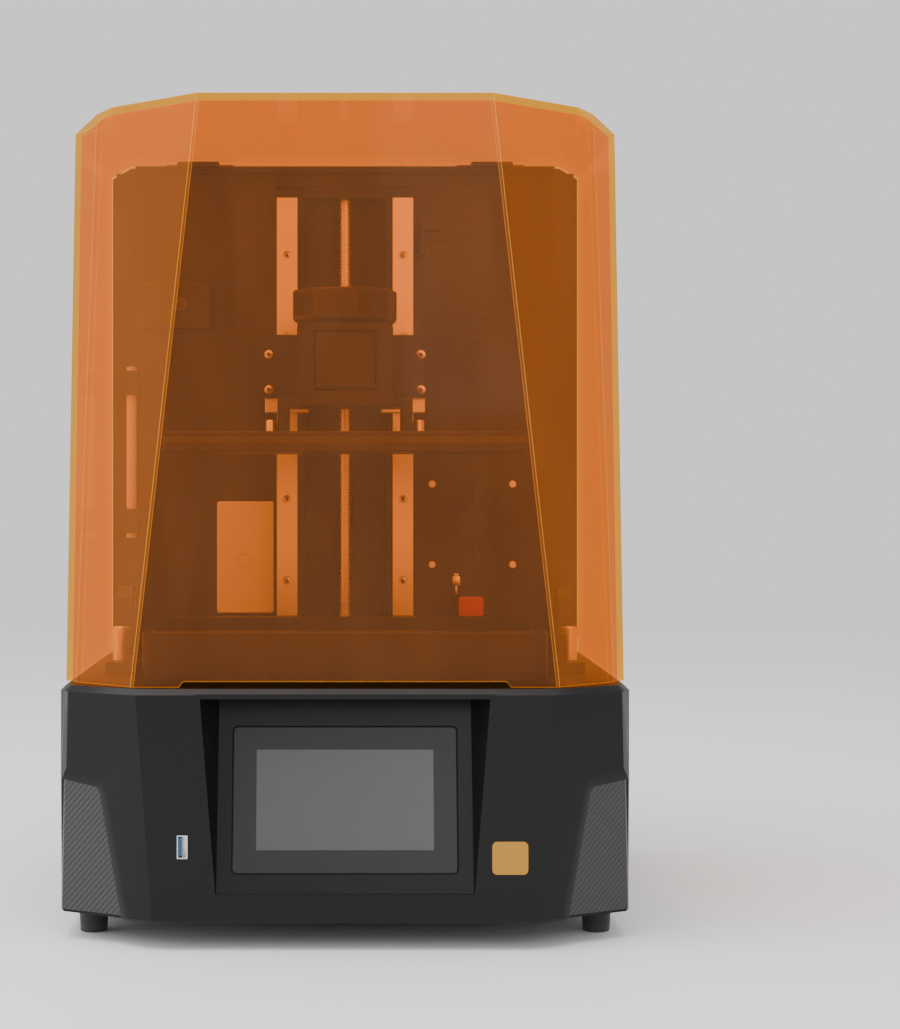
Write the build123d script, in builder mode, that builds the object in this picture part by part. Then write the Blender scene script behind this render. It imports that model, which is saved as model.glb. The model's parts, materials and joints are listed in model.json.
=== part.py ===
"""Desktop resin printer with an LCD light source, a flip-up hood and a lead screw lift.

Millimetres. +Z is up, +X is to the right as seen from the front, and the front faces -Y.
The origin is on the ground, under the middle of the printer.
"""

import os
from math import cos, radians, sin, tan

from build123d import *

os.makedirs("parts", exist_ok=True)

# Overall
WIDTH = 361
DEPTH = 380
HALF = WIDTH / 2
FRONT = -DEPTH / 2
REAR = DEPTH / 2
PLAY = 0.3  # gap left between pieces that move past each other
RUN = 0.05  # radial clearance of a shaft in its bore

# Base housing
BASE_LOW = 17
BASE_TOP = 162
BASE_WALL = 3
TOP_WALL = 4
TOP_BEVEL = 3.7
CORNER_TOP_X = 129.8  # where the corner facet leaves the front face, at the top
CORNER_LOW_X = 119.3  # and at the bottom
CORNER_SIDE_X = 174.4
CORNER_DEPTH = 25
SIDE_BEVEL_DEPTH = 37
DECK_HALF_X = 165
DECK_FRONT = FRONT + 45
DECK_REAR = FRONT + 302
DECK_THICK = 3

# Screen recess in the front face
RECESS_TOP = 155.8
RECESS_LOW = 35
RECESS_HALF_TOP = 89.9
RECESS_HALF_LOW = 80.3
RECESS_DRAFT = 23
SCREEN_TILT = 11.3
SCREEN_Z = 92
SCREEN_DEPTH = 12.6
BEZEL_W = 139.8
BEZEL_H = 90.7
GLASS_W = 110.7
GLASS_H = 62.3

# Hood
HOOD_HALF = 180
HOOD_FRONT = FRONT + 8
HOOD_REAR = FRONT + 300
HOOD_LOW = BASE_TOP + PLAY
HOOD_TOP = 532.5
HOOD_WALL = 4
HOOD_INNER = HOOD_HALF - HOOD_WALL
HINGE_Y = FRONT + 307.3
HINGE_Z = 527.5
HINGE_PIN_R = 2
BARREL_R = 3.8

# Lift: column, rails, screw and carriage
RAIL_X = 42.8
RAIL_W = 15
RAIL_FRONT = FRONT + 262
COLUMN_FRONT = FRONT + 272
PANEL_Y = FRONT + 298.5
BACK_Y = FRONT + 300
SCREW_Y = FRONT + 281
SCREW_R = 5
JOURNAL_R = 4
RAIL_LOW = 192
RAIL_HIGH = 500.5
RAIL_PITCH = 60
RAIL_HOLES = 5
RAIL_FIRST_HOLE = 217.9
BLOCK_SCREWS = 25.8
CARRIAGE_LOW = 352
CARRIAGE_HIGH = 398.3
CARRIAGE_Y = FRONT + 248
CARRIAGE_MID_Z = 371

# Platform
PLATE_W = 237
PLATE_D = 134
PLATE_LOW = 310.2
PLATE_HIGH = 323.5
PRINT_Y = FRONT + 137  # middle of the screen, the vat and the platform
TONGUE_HALF = 19.7
TONGUE_LOW = 353.1
TONGUE_HIGH = 391
SLOT_HALF = 21
SLOT_LOW = 350.8
BRACKET_TOP = 396.4
KNOB_R = 36.5
KNOB_LOW = 398.3
KNOB_HIGH = 420.6
STUD_R = 5

# Vat
VAT_W = 262.8
VAT_D = 163
VAT_HIGH = 194
VAT_Y = FRONT + 138.5
VAT_OPEN_W = 245
VAT_OPEN_D = 143
VAT_SCREW_X = 151.5
VAT_SCREW_Y = FRONT + 125
FILM_LOW = 162.4
FILM_THICK = 0.3


def save(name, piece):
    """Label a finished piece and write it out."""
    piece.label = name
    export_step(piece, f"parts/{name}.step")


MIDDLE = Vector(0, 0, 300)


def facet(a, b, c):
    """The plane through three points, its normal leading away from the printer's middle."""
    a, b, c = Vector(*a), Vector(*b), Vector(*c)
    normal = (b - a).cross(c - a).normalized()
    return Plane(a, z_dir=normal if normal.dot(a - MIDDLE) > 0 else normal * -1)


def mirrored(plane):
    """The same plane on the other side of the printer."""
    o, n = plane.origin, plane.z_dir
    return Plane((-o.X, o.Y, o.Z), z_dir=(-n.X, n.Y, n.Z))


def cut_block(low, high, facets, inset=0):
    """A box from corner to corner, trimmed on both sides by facets drawn in by inset."""
    size = [h - l for l, h in zip(low, high)]
    middle = tuple((h + l) / 2 for l, h in zip(low, high))
    with BuildPart() as block:
        with Locations(middle):
            Box(*size)
        for plane in facets:
            split(bisect_by=plane.offset(-inset), keep=Keep.BOTTOM)
            split(bisect_by=mirrored(plane).offset(-inset), keep=Keep.BOTTOM)
    return block.part


def block(low, high):
    """A plain box from corner to corner, added to the piece being built."""
    size = [h - l for l, h in zip(low, high)]
    with Locations(tuple((h + l) / 2 for l, h in zip(low, high))):
        Box(*size)


def hollow(low, high):
    """A plain box from corner to corner, cut out of the piece being built."""
    size = [h - l for l, h in zip(low, high)]
    with Locations(tuple((h + l) / 2 for l, h in zip(low, high))):
        Box(*size, mode=Mode.SUBTRACT)


def rod(x, y, low, high, radius, mode=Mode.ADD):
    """An upright cylinder between two heights."""
    with Locations((x, y, (low + high) / 2)):
        Cylinder(radius, high - low, mode=mode)


# ---------------------------------------------------------------- base housing

corner_facet = facet(
    (CORNER_TOP_X, FRONT, BASE_TOP - TOP_BEVEL),
    (CORNER_SIDE_X, FRONT + CORNER_DEPTH, BASE_TOP - TOP_BEVEL),
    (CORNER_LOW_X, FRONT, BASE_LOW),
)
side_bevel = facet(
    (CORNER_SIDE_X, FRONT + CORNER_DEPTH, 0),
    (HALF, FRONT + SIDE_BEVEL_DEPTH, 0),
    (HALF, FRONT + SIDE_BEVEL_DEPTH, 100),
)
CORNER_INSET = 11  # the wall is thick behind the side vents

with BuildPart() as outer_base:
    add(cut_block((-HALF, FRONT, BASE_LOW), (HALF, REAR, BASE_TOP), [corner_facet, side_bevel]))
    fillet(outer_base.edges().filter_by(Axis.Z).group_by(Axis.Y)[-1], 10)
    chamfer(outer_base.faces().sort_by(Axis.Z)[-1].edges(), TOP_BEVEL)
    chamfer(outer_base.faces().sort_by(Axis.Z)[0].edges(), 1.5)

INNER_HALF = HALF - BASE_WALL
with BuildPart() as inner_base:
    add(
        cut_block(
            (-INNER_HALF, FRONT + BASE_WALL, BASE_LOW - 1),
            (INNER_HALF, REAR - BASE_WALL, BASE_TOP - TOP_WALL),
            [corner_facet],
            CORNER_INSET,
        )
    )
    fillet(inner_base.edges().filter_by(Axis.Z).group_by(Axis.Y)[-1], 7)

screen_plane = Plane(
    origin=(0, FRONT + SCREEN_DEPTH, SCREEN_Z),
    x_dir=(1, 0, 0),
    z_dir=(0, -cos(radians(SCREEN_TILT)), sin(radians(SCREEN_TILT))),
)
mouth_plane = Plane(origin=(0, FRONT, 0), x_dir=(-1, 0, 0), z_dir=(0, 1, 0))
RECESS_HEADROOM = 60  # how far the drafted block runs on above the recess before it is cut level


def recess_block(margin):
    """The space of the screen recess, or the boss around it when margin is more than 0."""
    flare = (RECESS_HALF_TOP - RECESS_HALF_LOW) / (RECESS_TOP - RECESS_LOW)
    high = RECESS_TOP + RECESS_HEADROOM
    with BuildPart() as space:
        with BuildSketch(mouth_plane):
            with BuildLine():
                low_x = RECESS_HALF_LOW + margin
                high_x = RECESS_HALF_TOP + flare * RECESS_HEADROOM + margin
                low_z = RECESS_LOW - margin
                Polyline((-low_x, low_z), (low_x, low_z), (high_x, high), (-high_x, high), close=True)
            make_face()
        extrude(amount=45, taper=RECESS_DRAFT)
        top = Plane.XY.offset(RECESS_TOP + margin)
        split(bisect_by=top, keep=Keep.BOTTOM)
        split(bisect_by=screen_plane.offset(-margin), keep=Keep.TOP)
    return space.part


# Side vents: a sunken field at each lower front corner, with a sloping border
VENT_DEPTH = 4.5
VENT_SLOPE = 64
VENT_INLAY = 1.6
VENT_TOP_Z = 111.7
VENT_BEND = (153.2, 107)
VENT_SHOULDER = (148.7, 97.8)
VENT_LOW_X = 133.3
vent_plane = Plane(
    corner_facet.origin, x_dir=Vector(CORNER_SIDE_X - CORNER_TOP_X, CORNER_DEPTH, 0), z_dir=corner_facet.z_dir
)


def on_facet(x, z):
    """The point of the corner facet that lies at width x and height z, in its own plane."""
    n, o = corner_facet.z_dir, corner_facet.origin
    y = o.Y - (n.X * (x - o.X) + n.Z * (z - o.Z)) / n.Y
    local = vent_plane.to_local_coords(Vector(x, y, z))
    return (local.X, local.Y)


BEYOND = 40  # how far the vent's outline runs on past the side of the printer
vent_outline = [
    on_facet(CORNER_SIDE_X + BEYOND, VENT_TOP_Z + 4),
    on_facet(*VENT_BEND),
    on_facet(*VENT_SHOULDER),
    on_facet(VENT_LOW_X - 3, BASE_LOW - 20),
    on_facet(CORNER_SIDE_X + BEYOND, BASE_LOW - 20),
]


def vent_cut(depth, slope):
    """A sunken field on the right corner facet, drawn in by its sloping border."""
    with BuildPart() as field:
        with BuildSketch(vent_plane):
            with BuildLine():
                Polyline(*vent_outline, close=True)
            make_face()
        extrude(amount=-depth, taper=slope)
    return field.part


def vent_field(inset, depth_low, depth_high):
    """A slab under the corner facet between two depths, inset from the field's outline."""
    with BuildPart() as slab:
        with BuildSketch(vent_plane.offset(-depth_high)):
            with BuildLine():
                Polyline(*vent_outline, close=True)
            make_face()
            offset(amount=-inset, kind=Kind.INTERSECTION)
        extrude(amount=depth_high - depth_low)
    return slab.part


BORDER = VENT_DEPTH * tan(radians(VENT_SLOPE))
vent_hollow = vent_cut(VENT_DEPTH, VENT_SLOPE)
vent_pocket = vent_field(BORDER, VENT_DEPTH - 0.01, VENT_DEPTH + VENT_INLAY)
vent_limit = cut_block(
    (-HALF, FRONT, BASE_LOW + 2), (HALF, FRONT + SIDE_BEVEL_DEPTH + 10, BASE_TOP), [side_bevel], 1.5
)

USB_X = -100.7
USB_Z = 64.4
USB_W = 6.5
USB_H = 14.4
BADGE_X = 102.2
BADGE_Z = 57.6
BADGE_W = 22.2
BADGE_H = 20.4
BADGE_THICK = 0.6
INLET_X = 105
INLET_Z = 62
INLET_W = 47
INLET_H = 27
REAR_FAN_X = -72
REAR_FAN_Z = 86
REAR_FAN = 80

with BuildPart() as base_housing:
    add(outer_base.part)
    add(inner_base.part, mode=Mode.SUBTRACT)
    add(recess_block(BASE_WALL))
    add(recess_block(0), mode=Mode.SUBTRACT)
    with BuildSketch(screen_plane):
        RectangleRounded(BEZEL_W + 1.2, BEZEL_H + 1.2, 3.4)
    extrude(amount=-2, mode=Mode.SUBTRACT)
    hollow((-DECK_HALF_X, DECK_FRONT, BASE_TOP - TOP_WALL - 1), (DECK_HALF_X, DECK_REAR, BASE_TOP + 1))
    hollow(
        (USB_X - USB_W / 2, FRONT - 1, USB_Z - USB_H / 2),
        (USB_X + USB_W / 2, FRONT + BASE_WALL + 12, USB_Z + USB_H / 2),
    )
    with BuildSketch(Plane.XZ.offset(-FRONT)):
        with Locations((BADGE_X, BADGE_Z)):
            RectangleRounded(BADGE_W, BADGE_H, 3)
    extrude(amount=-BADGE_THICK, mode=Mode.SUBTRACT)
    for side_piece in (vent_hollow, vent_pocket):
        add(side_piece, mode=Mode.SUBTRACT)
        add(mirror(side_piece, about=Plane.YZ, mode=Mode.PRIVATE), mode=Mode.SUBTRACT)
    hollow(
        (INLET_X - INLET_W / 2, REAR - 10, INLET_Z - INLET_H / 2),
        (INLET_X + INLET_W / 2, REAR + 1, INLET_Z + INLET_H / 2),
    )
    with BuildSketch(Plane.XZ.offset(-REAR)):
        with Locations((REAR_FAN_X, REAR_FAN_Z)):
            with GridLocations(0, 7, 1, 10):
                SlotOverall(66, 3.6)
    extrude(amount=10, both=True, mode=Mode.SUBTRACT)
    for side in (-1, 1):
        with Locations(Plane.YZ.offset(side * HALF)):
            with Locations((FRONT + 300, 70)):
                with GridLocations(9, 0, 10, 1):
                    Box(4, 60, 20, mode=Mode.SUBTRACT)
save("base_housing", base_housing.part)

with BuildPart() as side_vents:
    plate = vent_field(BORDER, VENT_DEPTH, VENT_DEPTH + VENT_INLAY)
    add(plate & vent_limit)
    mirror(about=Plane.YZ)
save("side_vents", side_vents.part)

with BuildPart() as base_plate:
    add(
        cut_block(
            (-INNER_HALF + 0.5, FRONT + BASE_WALL + 2.5, BASE_LOW + 1),
            (INNER_HALF - 0.5, REAR - BASE_WALL - 0.5, BASE_LOW + 3),
            [corner_facet],
            CORNER_INSET + 0.5,
        )
    )
    fillet(base_plate.edges().filter_by(Axis.Z).group_by(Axis.Y)[-1], 7.5)
    with Locations((0, FRONT + 130, BASE_LOW + 2)):
        with GridLocations(0, 8, 1, 12):
            Box(120, 4, 4, mode=Mode.SUBTRACT)
save("base_plate", base_plate.part)

FOOT_X = 162.6
FOOT_FRONT_Y = FRONT + 65
FOOT_REAR_Y = REAR - 45
with BuildPart() as rubber_feet:
    for x in (-FOOT_X, FOOT_X):
        for y in (FOOT_FRONT_Y, FOOT_REAR_Y):
            with Locations((x, y, BASE_LOW / 2 + 0.5)):
                Cone(8.7, 9.8, BASE_LOW + 1)
    fillet(rubber_feet.faces().group_by(Axis.Z)[0].edges(), 1)
save("rubber_feet", rubber_feet.part)

# ---------------------------------------------------------------- front controls

BEZEL_PROUD = 0.8
with BuildPart() as touch_bezel:
    with BuildSketch(screen_plane.offset(-2)):
        RectangleRounded(BEZEL_W, BEZEL_H, 2.8)
        RectangleRounded(GLASS_W, GLASS_H, 0.8, mode=Mode.SUBTRACT)
    extrude(amount=2 + BEZEL_PROUD)
    chamfer(touch_bezel.faces().sort_by(Axis((0, 0, 0), screen_plane.z_dir))[-1].outer_wire().edges(), 0.4)
save("touch_bezel", touch_bezel.part)

with BuildPart() as touch_glass:
    with BuildSketch(screen_plane.offset(-2)):
        RectangleRounded(GLASS_W, GLASS_H, 0.8)
    extrude(amount=2 + BEZEL_PROUD - 0.3)
save("touch_glass", touch_glass.part)

USB_WALL = 0.6
USB_LENGTH = 14
with BuildPart() as usb_shell:
    block(
        (USB_X - USB_W / 2, FRONT, USB_Z - USB_H / 2),
        (USB_X + USB_W / 2, FRONT + USB_LENGTH, USB_Z + USB_H / 2),
    )
    hollow(
        (USB_X - USB_W / 2 + USB_WALL, FRONT - 1, USB_Z - USB_H / 2 + USB_WALL),
        (USB_X + USB_W / 2 - USB_WALL, FRONT + USB_LENGTH - 1, USB_Z + USB_H / 2 - USB_WALL),
    )
save("usb_shell", usb_shell.part)

with BuildPart() as usb_tongue:
    block(
        (USB_X - USB_W / 2 + USB_WALL, FRONT + 1.5, USB_Z - 5.6),
        (USB_X - USB_W / 2 + USB_WALL + 1.8, FRONT + USB_LENGTH - 1, USB_Z + 5.6),
    )
save("usb_tongue", usb_tongue.part)

with BuildPart() as badge_plate:
    with BuildSketch(Plane.XZ.offset(-FRONT - BADGE_THICK)):
        with Locations((BADGE_X, BADGE_Z)):
            RectangleRounded(BADGE_W, BADGE_H, 3)
    extrude(amount=BADGE_THICK)
save("badge_plate", badge_plate.part)

# ---------------------------------------------------------------- deck and light source

LCD_W = 236
LCD_D = 144
with BuildPart() as deck_plate:
    block(
        (-DECK_HALF_X, DECK_FRONT, BASE_TOP - DECK_THICK),
        (DECK_HALF_X, DECK_REAR, BASE_TOP),
    )
    with Locations((0, PRINT_Y, BASE_TOP)):
        Box(LCD_W, LCD_D, 20, mode=Mode.SUBTRACT)
    rod(0, SCREW_Y, BASE_TOP - 10, BASE_TOP + 10, 11, mode=Mode.SUBTRACT)
    for x in (-VAT_SCREW_X, VAT_SCREW_X):
        rod(x, VAT_SCREW_Y, BASE_TOP - 10, BASE_TOP + 10, 3.3, mode=Mode.SUBTRACT)
save("deck_plate", deck_plate.part)

with BuildPart() as lcd_screen:
    block(
        (-LCD_W / 2, PRINT_Y - LCD_D / 2, BASE_TOP - 2.4),
        (LCD_W / 2, PRINT_Y + LCD_D / 2, BASE_TOP),
    )
save("lcd_screen", lcd_screen.part)

ENGINE_W = 232
ENGINE_D = 136
ENGINE_LOW = 62
ENGINE_HIGH = BASE_TOP - 5
ENGINE_WALL = 2
with BuildPart() as light_engine:
    block(
        (-ENGINE_W / 2, PRINT_Y - ENGINE_D / 2, ENGINE_LOW),
        (ENGINE_W / 2, PRINT_Y + ENGINE_D / 2, ENGINE_HIGH),
    )
    hollow(
        (-ENGINE_W / 2 + ENGINE_WALL, PRINT_Y - ENGINE_D / 2 + ENGINE_WALL, ENGINE_LOW + ENGINE_WALL),
        (ENGINE_W / 2 - ENGINE_WALL, PRINT_Y + ENGINE_D / 2 - ENGINE_WALL, ENGINE_HIGH + 1),
    )
save("light_engine", light_engine.part)

LENS_PITCH = 24
with BuildPart() as led_array:
    floor = ENGINE_LOW + ENGINE_WALL
    block((-112, PRINT_Y - 62, floor), (112, PRINT_Y + 62, floor + 1.6))
    with Locations((0, PRINT_Y, floor + 1.6)):
        with GridLocations(LENS_PITCH, LENS_PITCH, 9, 5):
            Cone(9, 6, 8, align=(Align.CENTER, Align.CENTER, Align.MIN))
save("led_array", led_array.part)

with BuildPart() as heat_sink:
    low, high = 34, ENGINE_LOW
    block((-100, PRINT_Y - 55, high - 5), (100, PRINT_Y + 55, high))
    with Locations((0, PRINT_Y, (low + high - 5) / 2)):
        with GridLocations(10, 0, 20, 1):
            Box(2, 110, high - 5 - low)
save("heat_sink", heat_sink.part)

# ---------------------------------------------------------------- column, rails and screw

COLUMN_HALF = 51.5
CHANNEL_HALF = 30
COLUMN_TOP = 509
WEB = 4
with BuildPart() as z_column:
    block((-COLUMN_HALF, COLUMN_FRONT, BASE_TOP), (COLUMN_HALF, PANEL_Y, COLUMN_TOP))
    hollow((-CHANNEL_HALF, COLUMN_FRONT - 1, BASE_TOP - 1), (CHANNEL_HALF, PANEL_Y - WEB, COLUMN_TOP + 1))
save("z_column", z_column.part)

rail_holes_z = [RAIL_FIRST_HOLE + RAIL_PITCH * n for n in range(RAIL_HOLES)]
RAIL_BORE_R = 3.1
RAIL_HEAD_R = 2.9
RAIL_BORE_DEPTH = 4.5
with BuildPart() as linear_rails:
    for x in (-RAIL_X, RAIL_X):
        with BuildSketch(Plane.XY.offset(RAIL_LOW)):
            with Locations((x, (RAIL_FRONT + COLUMN_FRONT) / 2)):
                Rectangle(RAIL_W, COLUMN_FRONT - RAIL_FRONT)
            for edge in (-1, 1):
                with Locations((x + edge * RAIL_W / 2, RAIL_FRONT + 4.2)):
                    Circle(1.6, mode=Mode.SUBTRACT)
        extrude(amount=RAIL_HIGH - RAIL_LOW)
    for x in (-RAIL_X, RAIL_X):
        for z in rail_holes_z:
            with Locations(Plane(origin=(x, RAIL_FRONT, z), z_dir=(0, -1, 0))):
                Cylinder(RAIL_BORE_R, 2 * RAIL_BORE_DEPTH, mode=Mode.SUBTRACT)
save("linear_rails", linear_rails.part)

with BuildPart() as rail_screws:
    for x in (-RAIL_X, RAIL_X):
        for z in rail_holes_z:
            with Locations(Plane(origin=(x, RAIL_FRONT + RAIL_BORE_DEPTH, z), z_dir=(0, -1, 0))):
                Cylinder(RAIL_HEAD_R, 3.2, align=(Align.CENTER, Align.CENTER, Align.MIN))
                with Locations((0, 0, 3.2)):
                    Cylinder(1.3, 3, mode=Mode.SUBTRACT)
save("rail_screws", rail_screws.part)

LOW_BEARING = (BASE_TOP, 189)
HIGH_BEARING = (500.5, COLUMN_TOP)
with BuildPart() as screw_bearings:
    for low, high in (LOW_BEARING, HIGH_BEARING):
        block((-CHANNEL_HALF, COLUMN_FRONT - 6, low), (CHANNEL_HALF, PANEL_Y - WEB, high))
    block((-COLUMN_HALF, COLUMN_FRONT - 8, COLUMN_TOP), (COLUMN_HALF, PANEL_Y, COLUMN_TOP + 3))
    rod(0, SCREW_Y, BASE_TOP - 1, COLUMN_TOP - 2, JOURNAL_R + RUN, mode=Mode.SUBTRACT)
save("screw_bearings", screw_bearings.part)

MOTOR_TOP = 130
MOTOR_SIDE = 42.3
MOTOR_H = 48
MOTOR_SHAFT_R = 2.5
with BuildPart() as z_motor:
    with BuildSketch(Plane.XY.offset(MOTOR_TOP - MOTOR_H)):
        with Locations((0, SCREW_Y)):
            RectangleRounded(MOTOR_SIDE, MOTOR_SIDE, 4)
    extrude(amount=MOTOR_H)
    rod(0, SCREW_Y, MOTOR_TOP, MOTOR_TOP + 2, 11)
    with Locations((0, SCREW_Y, MOTOR_TOP + 14)):
        with GridLocations(31, 31, 2, 2):
            Cylinder(2.5, 30)
    rod(0, SCREW_Y, MOTOR_TOP - 12, MOTOR_TOP + 3, MOTOR_SHAFT_R + RUN, mode=Mode.SUBTRACT)
save("z_motor", z_motor.part)

COUPLING_LOW = MOTOR_TOP + 5
COUPLING_HIGH = COUPLING_LOW + 22
with BuildPart() as shaft_coupling:
    rod(0, SCREW_Y, COUPLING_LOW, COUPLING_HIGH, 9.5)
    rod(0, SCREW_Y, MOTOR_TOP - 10, COUPLING_LOW + 10, MOTOR_SHAFT_R)
    rod(0, SCREW_Y, COUPLING_LOW + 10, COUPLING_HIGH + 1, JOURNAL_R, mode=Mode.SUBTRACT)
    for z in (COUPLING_LOW + 4, COUPLING_HIGH - 4):
        with Locations(Location((0, SCREW_Y - 7, z), (90, 0, 0))):
            Cylinder(1.5, 5.1, mode=Mode.SUBTRACT)
save("shaft_coupling", shaft_coupling.part)

SCREW_LOW = 190
SCREW_HIGH = 500
with BuildPart() as ball_screw:
    rod(0, SCREW_Y, COUPLING_LOW + 10, COLUMN_TOP - 3, JOURNAL_R)
    rod(0, SCREW_Y, SCREW_LOW, SCREW_HIGH, SCREW_R)
save("ball_screw", ball_screw.part)

# ---------------------------------------------------------------- carriage

BLOCK_W = 32
BLOCK_LOW = 341.5
BLOCK_HIGH = 397
PLATE_BACK = RAIL_FRONT - 6
with BuildPart() as bearing_blocks:
    for x in (-RAIL_X, RAIL_X):
        block((x - BLOCK_W / 2, PLATE_BACK, BLOCK_LOW), (x + BLOCK_W / 2, RAIL_FRONT + 6.5, BLOCK_HIGH))
        hollow(
            (x - RAIL_W / 2 - PLAY, RAIL_FRONT - PLAY, BLOCK_LOW - 1),
            (x + RAIL_W / 2 + PLAY, RAIL_FRONT + 7, BLOCK_HIGH + 1),
        )
save("bearing_blocks", bearing_blocks.part)

screw_spots = [
    (side * RAIL_X + a * BLOCK_SCREWS / 2, CARRIAGE_MID_Z + b * BLOCK_SCREWS / 2)
    for side in (-1, 1)
    for a in (-1, 1)
    for b in (-1, 1)
]
with BuildPart() as carriage_plate:
    block((-60, CARRIAGE_Y, CARRIAGE_LOW), (60, PLATE_BACK, CARRIAGE_HIGH))
    fillet(carriage_plate.edges().filter_by(Axis.Y), 2)
    for x, z in screw_spots:
        with Locations(Plane(origin=(x, CARRIAGE_Y, z), z_dir=(0, -1, 0))):
            CounterBoreHole(1.6, 3.4, 3)
    block((60, CARRIAGE_Y, 359), (68, CARRIAGE_Y + 2, 388.5))
save("carriage_plate", carriage_plate.part)

with BuildPart() as carriage_screws:
    for x, z in screw_spots:
        with Locations(Plane(origin=(x, CARRIAGE_Y + 3, z), z_dir=(0, -1, 0))):
            Cylinder(3.2, 3.2, align=(Align.CENTER, Align.CENTER, Align.MIN))
            with Locations((0, 0, 3.2)):
                Cylinder(1.3, 3, mode=Mode.SUBTRACT)
save("carriage_screws", carriage_screws.part)

NUT_R = 12
NUT_LOW = 354
NUT_HIGH = 394
with BuildPart() as nut_block:
    block((-20, PLATE_BACK, 360), (20, SCREW_Y + 6, 390))
    rod(0, SCREW_Y, 350, 400, NUT_R, mode=Mode.SUBTRACT)
save("nut_block", nut_block.part)

with BuildPart() as ball_nut:
    rod(0, SCREW_Y, NUT_LOW, NUT_HIGH, NUT_R)
    rod(0, SCREW_Y, NUT_LOW - 1, NUT_HIGH + 1, SCREW_R + RUN, mode=Mode.SUBTRACT)
save("ball_nut", ball_nut.part)

TONGUE_FRONT = PRINT_Y - 33
with BuildPart() as arm_bracket:
    block((-TONGUE_HALF, TONGUE_FRONT, TONGUE_LOW), (TONGUE_HALF, CARRIAGE_Y, TONGUE_HIGH))
    block((-26.4, CARRIAGE_Y - 22, TONGUE_LOW), (26.4, CARRIAGE_Y, TONGUE_HIGH + 4))
    chamfer(
        arm_bracket.edges().filter_by(Axis.X).group_by(Axis.Y)[0],
        0.8,
    )
save("arm_bracket", arm_bracket.part)

# ---------------------------------------------------------------- platform and its clamp

with BuildPart() as build_plate:
    block(
        (-PLATE_W / 2, PRINT_Y - PLATE_D / 2, PLATE_LOW),
        (PLATE_W / 2, PRINT_Y + PLATE_D / 2, PLATE_HIGH),
    )
    fillet(build_plate.edges().filter_by(Axis.Z), 3)
    chamfer(build_plate.faces().sort_by(Axis.Z)[-1].edges(), 1)
    chamfer(build_plate.faces().sort_by(Axis.Z)[0].edges(), 0.6)
save("build_plate", build_plate.part)

BRACKET_HALF_X = 32
BRACKET_D = 70
FOOT_HALF_X = 45
LEG_IN = 38.4
SADDLE_LOW = 341
SADDLE_HIGH = 346
with BuildPart() as platform_bracket:
    front, rear = PRINT_Y - BRACKET_D / 2, PRINT_Y + BRACKET_D / 2
    block((-BRACKET_HALF_X, front, SADDLE_LOW), (BRACKET_HALF_X, rear, BRACKET_TOP))
    chamfer(platform_bracket.edges().filter_by(Axis.Y).group_by(Axis.Z)[-1], 3)
    block((-FOOT_HALF_X, front, SADDLE_LOW), (FOOT_HALF_X, rear, SADDLE_HIGH))
    for side in (-1, 1):
        inner, outer = sorted((side * LEG_IN, side * FOOT_HALF_X))
        block((inner, front, PLATE_HIGH), (outer, rear, SADDLE_LOW))
    rod(0, PRINT_Y, BRACKET_TOP, KNOB_LOW - PLAY, 14.5)
    hollow((-SLOT_HALF, front - 1, SLOT_LOW), (SLOT_HALF, rear + 1, TONGUE_HIGH + PLAY))
    rod(0, PRINT_Y, TONGUE_HIGH, TONGUE_HIGH + 4.2, 9.5, mode=Mode.SUBTRACT)
    rod(0, PRINT_Y, TONGUE_HIGH, KNOB_LOW, STUD_R + RUN, mode=Mode.SUBTRACT)
save("platform_bracket", platform_bracket.part)

HANGER_X = 49.5
HANGER_Y = 26
with BuildPart() as platform_screws:
    with Locations((0, PRINT_Y, PLATE_HIGH)):
        with GridLocations(2 * HANGER_X, 2 * HANGER_Y, 2, 2):
            Cylinder(3.4, 8.5, align=(Align.CENTER, Align.CENTER, Align.MIN))
            with Locations((0, 0, 6)):
                Cylinder(1.7, 5, mode=Mode.SUBTRACT)
    chamfer(platform_screws.faces().group_by(Axis.Z)[-1].edges(), 0.4)
save("platform_screws", platform_screws.part)

KNOB_FACES = 8
with BuildPart() as clamp_knob:
    with BuildSketch(Plane.XY.offset(KNOB_LOW)):
        with Locations((0, PRINT_Y)):
            RegularPolygon(KNOB_R, KNOB_FACES, rotation=11)
    extrude(amount=KNOB_HIGH - KNOB_LOW)
    fillet(clamp_knob.edges().filter_by(Axis.Z), 3)
    chamfer(clamp_knob.faces().sort_by(Axis.Z)[-1].edges(), 2)
    chamfer(clamp_knob.faces().sort_by(Axis.Z)[0].edges(), 3)
    rod(0, PRINT_Y, TONGUE_HIGH + PLAY + 2, KNOB_LOW + 1, STUD_R)
save("clamp_knob", clamp_knob.part)

with BuildPart() as clamp_shoe:
    rod(0, PRINT_Y, TONGUE_HIGH + PLAY, TONGUE_HIGH + PLAY + 2, 9)
save("clamp_shoe", clamp_shoe.part)

# ---------------------------------------------------------------- vat

EAR_HALF_Y = 19
with BuildPart() as vat_frame:
    low = FILM_LOW + FILM_THICK
    with BuildSketch(Plane.XY.offset(low)):
        with Locations((0, VAT_Y)):
            RectangleRounded(VAT_W, VAT_D, 9)
    extrude(amount=VAT_HIGH - low)
    chamfer(vat_frame.faces().sort_by(Axis.Z)[-1].edges(), 1.2)
    for x in (-VAT_SCREW_X, VAT_SCREW_X):
        sign = 1 if x > 0 else -1
        inner, outer = sorted((sign * (VAT_W / 2 - 2), sign * 160))
        block((inner, VAT_SCREW_Y - EAR_HALF_Y, low), (outer, VAT_SCREW_Y + EAR_HALF_Y, 170))
        rod(x, VAT_SCREW_Y, low - 1, 171, 3.05, mode=Mode.SUBTRACT)
    with BuildSketch(Plane.XY.offset(low - 1)):
        with Locations((0, PRINT_Y)):
            RectangleRounded(VAT_OPEN_W, VAT_OPEN_D, 8)
    extrude(amount=VAT_HIGH - low + 2, mode=Mode.SUBTRACT)
save("vat_frame", vat_frame.part)

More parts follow.
